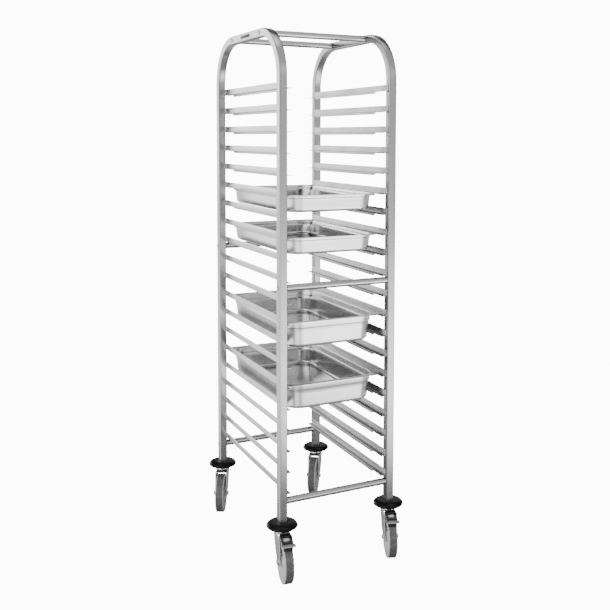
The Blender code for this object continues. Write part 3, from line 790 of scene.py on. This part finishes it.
def fork(trail, wheel, top, race_top, braked):
    """Pressed fork: a folded sheet trimmed to the leg outline, with the lower race on top."""
    inner_bend = FORK_BEND - FORK_SHEET
    half = FORK_HALF
    floor = wheel - FORK_EYE - 0.01
    quarter = math.pi / 2
    section = [(-half, floor)]
    section += arc((FORK_BEND - half, top - FORK_BEND), FORK_BEND, 2 * quarter, quarter, 6)
    section += arc((half - FORK_BEND, top - FORK_BEND), FORK_BEND, quarter, 0, 6)
    section += [(half, floor), (half - FORK_SHEET, floor)]
    section += arc((half - FORK_BEND, top - FORK_BEND), inner_bend, 0, quarter, 4)
    section += arc((FORK_BEND - half, top - FORK_BEND), inner_bend, quarter, 2 * quarter, 4)
    section += [(FORK_SHEET - half, floor)]
    far, near = 0.035, -trail - FORK_EYE - 0.01
    piece = loft("fork_master", [[(x, y, z) for x, z in section] for y in (near, far)])
    trim = prism("fork_trim", fork_outline(trail, wheel, top + 0.00001), -0.03, 0.03)
    join(piece, trim, "INTERSECT")
    if braked:
        mouth = [(-trail - 0.03, top - 0.006), (-RACE_RADIUS - 0.001, top - 0.006)]
        mouth += [(-RACE_RADIUS - 0.001, top + 0.01), (-trail - 0.03, top + 0.01)]
        inside = half - FORK_SHEET
        join(piece, prism("fork_mouth", mouth, -inside, inside), "DIFFERENCE")
    race = [(RACE_RADIUS - 0.003, top - 0.0012), (RACE_RADIUS, top - 0.0012)]
    race += [(RACE_RADIUS, race_top - 0.0012)]
    race += [(RACE_RADIUS - 0.0012 + 0.0012 * math.cos(t), race_top - 0.0012 + 0.0012 * math.sin(t))
             for t in (quarter / 2, quarter)]
    race += [(0.0150, race_top), (0.0146, race_top - 0.0008), (0.0132, race_top - 0.0008)]
    join(piece, turned("fork_race", race, 64))
    bore = STEM_RADIUS + 0.0004
    join(piece, turned("stem_bore", [(bore, top - 0.02), (bore, race_top + 0.02)], 48), "DIFFERENCE")
    holes = [(-trail, wheel, AXLE_RADIUS + 0.0003)]
    if braked:
        holes.append((-trail + PIN_BACK, top - PIN_DROP, PIN_RADIUS + 0.0003))
    for y, z, radius in holes:
        ring = arc((y, z), radius, 0, 2 * math.pi * 31 / 32, 31)
        join(piece, prism("axle_hole", ring, -0.03, 0.03), "DIFFERENCE")
    soften(piece, 0.00035, 2, 40)
    smooth(piece, 40)
    return piece


def axle_bolt():
    """Flanged hex bolt through the wheel with a lock nut on its far end, along Z."""
    sides = 48
    seat = FORK_HALF + 0.0003
    end = seat + 0.0055
    flange = seat + 0.0014
    rings = [circle(AXLE_RADIUS * 0.55, sides, -end), circle(AXLE_FLATS / 2 - 0.0008, sides, -end)]
    rings += [hexagon(AXLE_FLATS, sides, -end + 0.0009), hexagon(AXLE_FLATS, sides, -flange)]
    rings += [circle(AXLE_FLANGE - 0.0006, sides, -flange), circle(AXLE_FLANGE, sides, -seat - 0.0004)]
    rings += [circle(AXLE_FLANGE, sides, -seat), circle(AXLE_RADIUS, sides, -seat)]
    rings += [circle(AXLE_RADIUS, sides, seat), circle(AXLE_FLANGE, sides, seat)]
    rings += [circle(AXLE_FLANGE, sides, seat + 0.0004), circle(AXLE_FLANGE - 0.0006, sides, flange)]
    rings += [hexagon(AXLE_FLATS, sides, flange), hexagon(AXLE_FLATS, sides, end - 0.0016)]
    rings += [circle(AXLE_FLATS / 2 - 0.0004, sides, end - 0.0012)]
    rings += [circle(AXLE_FLATS / 2 - 0.0010, sides, end - 0.0003)]
    rings += [circle(AXLE_RADIUS + 0.0003, sides, end - 0.0003), circle(AXLE_RADIUS, sides, end - 0.0008)]
    rings += [circle(AXLE_RADIUS - 0.0005, sides, end)]
    piece = loft("axle_bolt_master", rings)
    smooth(piece, 30)
    return piece


def tyre(wheel):
    """Bound-on tyre, turned about Z: rounded shoulders, fine tread grooves, a bead on the hub."""
    seat = wheel - TYRE_DEPTH
    half = TYRE_HALF
    side = [(seat, half * 0.84), (seat + 0.0015, half * 0.90), (seat + 0.0030, half * 0.90)]
    side += [(seat + 0.0038, half * 0.97), (seat + 0.0085, half), (wheel - 0.0040, half * 0.985)]
    for k in range(1, 7):
        turn = math.pi / 2 * k / 6
        side.append((wheel - 0.0040 + 0.0040 * math.sin(turn),
                     half * 0.985 - 0.0045 * (1 - math.cos(turn))))
    groove = 0.0007
    for middle in (0.0066, 0.0022):
        side += [(wheel, middle + 0.0009), (wheel - groove, middle + 0.0004)]
        side += [(wheel - groove, middle - 0.0004), (wheel, middle - 0.0009)]
    profile = side + [(r, -z) for r, z in reversed(side)]
    piece = turned("tyre_master", profile, 96, "joined")
    # Marks the side walls, whose colour is painted lighter as painted light.
    wall = piece.data.attributes.new("painted_light_wall", "FLOAT", "POINT")
    for point in piece.data.vertices:
        wall.data[point.index].value = float(abs(point.co.z) > half * 0.8)
    smooth(piece, 40)
    return piece


def hub(wheel):
    """Dished plastic wheel centre with five lightening pockets a side and a bearing cap."""
    rim = wheel - TYRE_DEPTH - 0.0003
    half = HUB_HALF
    bore = AXLE_RADIUS + 0.0004
    side = [(rim, half - 0.0006), (rim - 0.0006, half), (rim * 0.90, half), (rim * 0.875, half - 0.0012)]
    side += [(rim * 0.84, half - 0.0044), (rim * 0.80, half - 0.0050), (rim * 0.50, half - 0.0042)]
    side += [(rim * 0.41, half - 0.0034), (rim * 0.385, half - 0.0006), (rim * 0.375, half)]
    side += [(rim * 0.27, half), (rim * 0.26, half - 0.0008), (rim * 0.20, half - 0.0008)]
    side += [(rim * 0.19, half - 0.0002), (bore, half - 0.0002)]
    profile = side + [(r, -z) for r, z in reversed(side)]
    piece = turned("hub_master", profile, 96, "joined")
    for number in range(5):
        for face in (-1, 1):
            ring = circle(0.0062, 24, 0)
            turn = Matrix.Rotation(2 * math.pi * number / 5, 4, "Z")
            spot = turn @ Matrix.Translation((rim * 0.62, 0, face * (half - 0.0020)))
            walls = [[(x, y * 1.25, z) for x, y, _ in ring] for z in (-0.005, 0.005)]
            pocket = loft("hub_pocket", walls)
            move(pocket, spot)
            join(piece, pocket, "DIFFERENCE")
    soften(piece, 0.0003, 2, 50)
    smooth(piece, 35)
    return piece


def brake_parts(wheel, top):
    """Pedal, cover, tread and shoe about their pin, which lies at the origin along X."""
    knuckle = PIN_RADIUS + 0.002
    along = Vector((-math.cos(PEDAL_SLOPE), -math.sin(PEDAL_SLOPE)))
    down = Vector((math.sin(PEDAL_SLOPE), -math.cos(PEDAL_SLOPE)))
    start = -down * knuckle
    end = start + along * PEDAL_LENGTH
    lip = end + Vector((-LIP_LENGTH, -0.001))
    low_end = end + down * PEDAL_SHEET
    root = along * knuckle * 0.9 - down * (knuckle - PEDAL_SHEET)
    eye = arc((0, 0), knuckle, math.pi / 2 + PEDAL_SLOPE, -math.pi + PEDAL_SLOPE + 0.3, 20)
    tip = Vector((lip.x + 0.0008, lip.y - PEDAL_SHEET))
    rim = [tip, lip + Vector((0, -0.0008)), lip, end]
    pedal = prism("brake_pedal_master", rim + eye + [root, low_end], -PEDAL_HALF, PEDAL_HALF)
    join(pedal, prism("pedal_lip", rim + [low_end], -LIP_HALF, LIP_HALF))
    soften(pedal, 0.0004, 2, 28)
    ring = arc((0, 0), PIN_RADIUS + 0.0003, 0, 2 * math.pi * 31 / 32, 31)
    join(pedal, prism("pin_bore", ring, -0.03, 0.03), "DIFFERENCE")
    for side in (-1, 1):
        notch = [(side * LIP_HALF * 1.2, lip.x - 0.001), (side * LIP_HALF * 1.2, lip.x + 0.005)]
        notch += [(side * LIP_HALF * 1.01, lip.x + 0.005), (side * LIP_HALF * 0.82, lip.x - 0.001)]
        corner = loft("lip_corner", [[(x, y, z) for x, y in notch] for z in (-0.03, 0.01)])
        join(pedal, corner, "DIFFERENCE")
    smooth(pedal, 40)

    lift = -down * 0.0003
    near = start - along * 0.003 + lift
    far = start + along * (PEDAL_LENGTH - 0.002) + lift
    rise = -down * COVER_HEIGHT
    back = near + rise * 0.56 + along * 0.0005
    crest = far + rise - along * 0.012
    block = [near, back]
    block += [back + (crest - back) * k / 5 - down * 0.0006 * math.sin(math.pi * k / 5)
              for k in range(1, 5)]
    block += [crest, crest + along * 0.0035 - rise * 0.10, far + rise * 0.35, far]
    cover = prism("brake_cover_master", block, -PEDAL_HALF, PEDAL_HALF)
    inner = PEDAL_HALF - 0.006
    low = near + along * 0.016 - rise
    high = far - along * 0.006 - rise
    window = [low, low + rise * 3, high + rise * 3, high]
    join(cover, prism("cover_window", window, -inner, inner), "DIFFERENCE")
    soften(cover, 0.0007, 3, 28)
    smooth(cover, 40)

    tread_low = near + along * 0.0168 - down * 0.0001
    tread_high = far - along * 0.0068 - down * 0.0001
    plate = [tread_low, tread_low - down * 0.0016, tread_high - down * 0.0016, tread_high]
    tread = prism("brake_tread_master", plate, -inner + 0.0008, inner - 0.0008)
    for number in range(4):
        spot = tread_low + (tread_high - tread_low) * (0.2 + 0.2 * number)
        centre = (spot.x - down.x * 0.0016, spot.y - down.y * 0.0016)
        rib = arc(centre, 0.0009, 0, 2 * math.pi * 11 / 12, 11)
        join(tread, prism("tread_rib", rib, -inner + 0.0018, inner - 0.0018))
    soften(tread, 0.00025, 2, 40)
    smooth(tread, 40)

    axle = (-PIN_BACK, wheel - (top - PIN_DROP))
    sole = arc(axle, wheel + SHOE_GAP, math.pi / 2 + math.radians(20), math.pi / 2 + math.radians(42), 16)
    seat = start + down * (PEDAL_SHEET + 0.0003)
    heel = seat + along * (-(sole[0][0] - seat.x) / math.cos(PEDAL_SLOPE))
    knee = low_end + down * 0.0003
    toe = Vector((sole[-1][0], lip.y - PEDAL_SHEET - 0.0003))
    shoe_half = PEDAL_HALF * 0.8
    shoe = prism("brake_shoe_master", sole + [toe, knee, heel], -shoe_half, shoe_half)
    soften(shoe, 0.0006, 2, 28)
    smooth(shoe, 40)

    pin_half = FORK_HALF + 0.002
    pin_profile = [(PIN_RADIUS - 0.0005, -pin_half), (PIN_RADIUS, 0.0005 - pin_half)]
    pin_profile += [(PIN_RADIUS, pin_half - 0.0005), (PIN_RADIUS - 0.0005, pin_half)]
    pin = turned("brake_pin_master", pin_profile, 32)
    move(pin, Matrix.Rotation(math.pi / 2, 4, "Y"))
    smooth(pin)
    return {"pedal": pedal, "cover": cover, "tread": tread, "shoe": shoe, "pin": pin}


def expander(node):
    """Ribbed nylon sleeve between the stem and the tube."""
    low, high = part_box(node)
    half = (high.x - low.x) / 2
    hole = STEM_RADIUS + 0.0003
    count = 6
    rings = [[Vector(p) for p in circle(hole, 24, z)] for z in (low.z, high.z)]
    outer = []
    for k in range(count + 1):
        z = high.z + (low.z - high.z) * k / count
        for drop, inset in ((0, 0.0), (0.002, 0.0), (0.0028, 0.0008), (0.0045, 0.0008)):
            if z - drop > low.z:
                outer.append(round_box(half - inset, half - inset, 0.0015, z - drop, 5))
    outer.append(round_box(half, half, 0.0015, low.z, 5))
    middle = (low + high) / 2
    piece = loft("expander", rings + outer, "joined")
    move(piece, Matrix.Translation((middle.x, middle.y, 0)))
    smooth(piece, 30)
    return piece


def casters(finishes):
    first = CORNERS[0]
    swivel = Vector(JOINTS[f"swivel_{first}"]["pos_m"])
    spin = Vector(JOINTS[f"wheel_spin_{first}"]["pos_m"])
    trail = (Vector((spin.x, spin.y)) - Vector((swivel.x, swivel.y))).length
    wheel = spin.z
    plate = 2 * wheel + FORK_PLATE_OVER_WHEEL
    top = plate + FORK_SHEET
    race_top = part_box(f"caster_fork_{first}")[1].z
    bumper_low, bumper_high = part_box(f"bumper_{first}")
    stem_low, stem_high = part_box(f"caster_stem_{first}")
    masters = {
        "bumper": bumper(bumper_low, bumper_high),
        "stem": stem(stem_low, stem_high, bumper_low.z - 0.0003, race_top, plate),
        "fork": fork(trail, wheel, top, race_top, False),
        "braked_fork": fork(trail, wheel, top, race_top, True),
        "axle": axle_bolt(),
        "tyre": tyre(wheel),
        "hub": hub(wheel),
    }
    masters.update(brake_parts(wheel, top))
    across = Matrix.Rotation(math.pi / 2, 4, "Y")
    for corner in CORNERS:
        pivot = Vector(JOINTS[f"swivel_{corner}"]["pos_m"])
        axis = JOINTS[f"wheel_spin_{corner}"]["axis"]
        stand = Matrix.Translation((pivot.x, pivot.y, 0))
        turn = stand @ Matrix.Rotation(math.atan2(axis[1], axis[0]), 4, "Z")
        centre = turn @ Matrix.Translation((0, -trail, wheel)) @ across
        pin = turn @ Matrix.Translation((0, -trail + PIN_BACK, top - PIN_DROP))
        braked = f"brake_{corner}" in JOINTS
        own_fork = "braked_fork" if braked else "fork"
        swivelled, rolling, pressed = f"swivel_{corner}", f"wheel_{corner}", f"brake_{corner}"
        rows = [
            ("bumper", "bumper_ring", stand, "frame", "bumper", "black_rubber", "bumper"),
            ("stem", "stem_bolt", stand, "frame", "zinc", "zinc_plated_steel", "caster_stem"),
            (own_fork, "pressed_fork", turn, swivelled, "zinc", "zinc_plated_steel", "caster_fork"),
            ("axle", "axle_and_nut", centre, swivelled, "screw", "bright_steel", "axle_bolt"),
            ("tyre", "wheel_tyre", centre, rolling, "tyre", "grey_rubber", "tyre"),
            ("hub", "wheel_centre", centre, rolling, "hub", "grey_plastic", "wheel_hub"),
        ]
        if braked:
            rows += [
                ("pin", "pedal_pin", pin, swivelled, "screw", "bright_steel", "brake_pin"),
                ("pedal", "foot_pedal", pin, pressed, "zinc", "zinc_plated_steel", "brake_pedal"),
                ("tread", "pedal_tread", pin, pressed, "zinc", "zinc_plated_steel", "brake_pedal"),
                ("cover", "pedal_cover", pin, pressed, "plastic", "black_plastic", "brake_cover"),
                ("shoe", "tyre_shoe", pin, pressed, "plastic", "black_rubber", "brake_shoe"),
            ]
        for part, name, place, body, finish, slot, node in rows:
            piece = copy(masters[part], f"{name}_{corner}", place)
            hand_over(piece, body, finishes[finish], slot, f"{node}_{corner}")
        sleeve = expander(f"stem_expander_{corner}")
        sleeve.name = f"stem_sleeve_{corner}"
        hand_over(sleeve, "frame", finishes["plastic"], "black_plastic", f"stem_expander_{corner}")
    for master in masters.values():
        bpy.data.objects.remove(master, do_unlink=True)


# ---------------------------------------------------------------- pans


def pan(node):
    """Drawn pan: flat flange with a turned edge, rounded rim, stacking shoulder and round floor edge."""
    low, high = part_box(node)
    middle = (low + high) / 2
    half_x, half_y = (high.x - low.x) / 2, (high.y - low.y) / 2
    top = high.z
    base = top - PAN_SHEET
    depth = base - low.z
    shoulder = PAN_SHOULDER_DEPTH[node]
    wall_x, wall_y = half_x - PAN_FLANGE, half_y - PAN_FLANGE
    corner_steps = 12
    rim_steps = 6
    rim_round = 0.0030
    draft = PAN_DRAFT * shoulder * 0.3
    step_in = PAN_SHOULDER + draft
    low_start = shoulder + 0.002
    floor_start = depth - PAN_FLOOR_ROUND
    low_in = step_in + PAN_DRAFT * (floor_start - shoulder)
    quarter = math.pi / 2

    steps = []
    for k in range(rim_steps):
        turn = quarter * k / (rim_steps - 1)
        steps.append((rim_round * (1 - math.cos(turn)), rim_round * (math.sin(turn) - 1)))
    steps.append((shoulder - 0.0008, draft))
    for k in range(1, 6):
        share = k / 5
        ease = share * share * (3 - 2 * share)
        steps.append((shoulder - 0.0008 + 0.0028 * share, draft + (step_in - draft) * ease))
    for k in range(1, 5):
        share = k / 4
        steps.append((low_start + (floor_start - low_start) * share,
                      step_in + (low_in - step_in) * share))
    for k in range(1, 9):
        turn = quarter * k / 8
        steps.append((floor_start + PAN_FLOOR_ROUND * math.sin(turn),
                      low_in + PAN_FLOOR_ROUND * (1 - math.cos(turn))))
    steps.append((depth - 0.0004, low_in + PAN_FLOOR_ROUND + 0.030))

    def ring(drop, inset, skin):
        shift = skin * PAN_SHEET
        radius = max(0.012, PAN_CORNER - inset * 0.5 - shift)
        half = (wall_x - inset - shift, wall_y - inset - shift)
        return round_box(*half, radius, base - drop, corner_steps)

    lip_radius = (PAN_CORNER + PAN_FLANGE) * 0.35
    outside = [ring(drop, inset, 0) for drop, inset in steps]
    inside = [ring(drop - PAN_SHEET, inset, 1) for drop, inset in steps]
    edge = []
    for rise, inset in ((0.0, 0.0010), (0.0, 0.0002), (0.0003, 0.0), (0.0007, 0.0), (0.0010, 0.0004)):
        radius = lip_radius - inset
        edge.append(round_box(half_x - inset, half_y - inset, radius, base + rise, corner_steps))
    piece = loft(f"{node}_shell", outside[::-1] + edge + inside)
    # The inner_skin mark carries the painted shade inside the pan.
    skin = piece.data.attributes.new("inner_skin", "FLOAT", "POINT")
    walls = len(outside + edge) + rim_steps
    for number, place in enumerate(piece.data.attributes["ring"].data):
        skin.data[number].value = float(place.value >= walls)
    move(piece, Matrix.Translation((middle.x, middle.y, 0)))
    smooth(piece, 50)
    return piece


def pans(finishes):
    for node in PAN_SHOULDER_DEPTH:
        hand_over(pan(node), node, finishes["pan"], "polished_steel", node)


# ---------------------------------------------------------------- studio


def studio():
    """A floor and a backdrop that are pale to the camera, and soft lights round the rack."""
    bpy.ops.object.select_all(action="DESELECT")
    bpy.ops.mesh.primitive_plane_add(size=40, location=(0, 0, -0.0005))
    floor = bpy.context.object
    floor.name = "floor"
    paper = Finish("floor_paper", (0.30, 0.30, 0.30), 0.9)
    fibres = paper.noise(paper.place(), 30.0, 3.0)
    paper.rough(0.85 + fibres * 0.1)
    paper.shader.inputs["Emission Color"].default_value = (1, 1, 1, 1)
    vector_math = "ShaderNodeVectorMath"
    dot = {"operation": "DOT_PRODUCT"}
    far = paper.node(vector_math, {"operation": "LENGTH"}, {0: paper.place()}, "Value")
    heading = paper.node(vector_math, {"operation": "NORMALIZE"}, {0: paper.place()}, "Vector")
    ahead = paper.node(vector_math, dot, {0: heading, 1: FLOOR_AIM}, "Value")
    across = paper.node("ShaderNodeSeparateXYZ", None, {0: paper.place()}, "X")
    beside = (0 - across).stepped(0.25, 0.55) * far.stepped(0.2, 0.6) * FLOOR_SIDE
    reach = far.stepped(0.8, 1.4) * (1 - far.stepped(4.0, 7.0) * 0.75)
    glow = FLOOR_NEAR + reach * (0.12 + ahead.stepped(0.86, 0.98) * 0.88) * FLOOR_FAR + beside
    seen = paper.node("ShaderNodeLightPath", output="Is Camera Ray")
    paper.feed(paper.shader.inputs["Emission Strength"], glow * (1 - seen) + seen * BACKDROP)
    floor.data.materials.append(paper.material)

    world = bpy.data.worlds.new("studio")
    bpy.context.scene.world = world
    world.use_nodes = True
    room = Nodes(world.node_tree)
    towards = room.node("ShaderNodeTexCoord", output="Generated")
    light = ROOM_LIGHT
    for aim, edge, middle, strength in SOFTBOXES:
        direction = Vector(aim).normalized()
        facing = room.node(vector_math, dot, {0: towards, 1: direction}, "Value")
        light = facing.stepped(edge, middle) * strength + light
    seen = room.node("ShaderNodeLightPath", output="Is Camera Ray")
    surround = world.node_tree.nodes["Background"]
    room.feed(surround.inputs["Strength"], light * (1 - seen) + seen * BACKDROP)
    surround.inputs["Color"].default_value = (1, 1, 1, 1)


def camera():
    """The view from the front left, above the middle of the rack."""
    data = bpy.data.cameras.new("camera")
    data.lens = 50.93
    data.sensor_width = 36
    data.shift_x = -0.0665
    data.shift_y = -0.1787
    eye = bpy.data.objects.new("camera", data)
    bpy.context.collection.objects.link(eye)
    eye.location = (-1.1185, -2.5059, 1.2782)
    eye.rotation_euler = [math.radians(a) for a in (86.1448, -0.2527, -26.7529)]
    bpy.context.scene.camera = eye


def dress():
    camera()
    studio()
    finishes = make_finishes()
    side_frames(finishes)
    blank_plate(finishes)
    cross_bars(finishes)
    bar_screws(finishes)
    casters(finishes)
    pans(finishes)


dress()
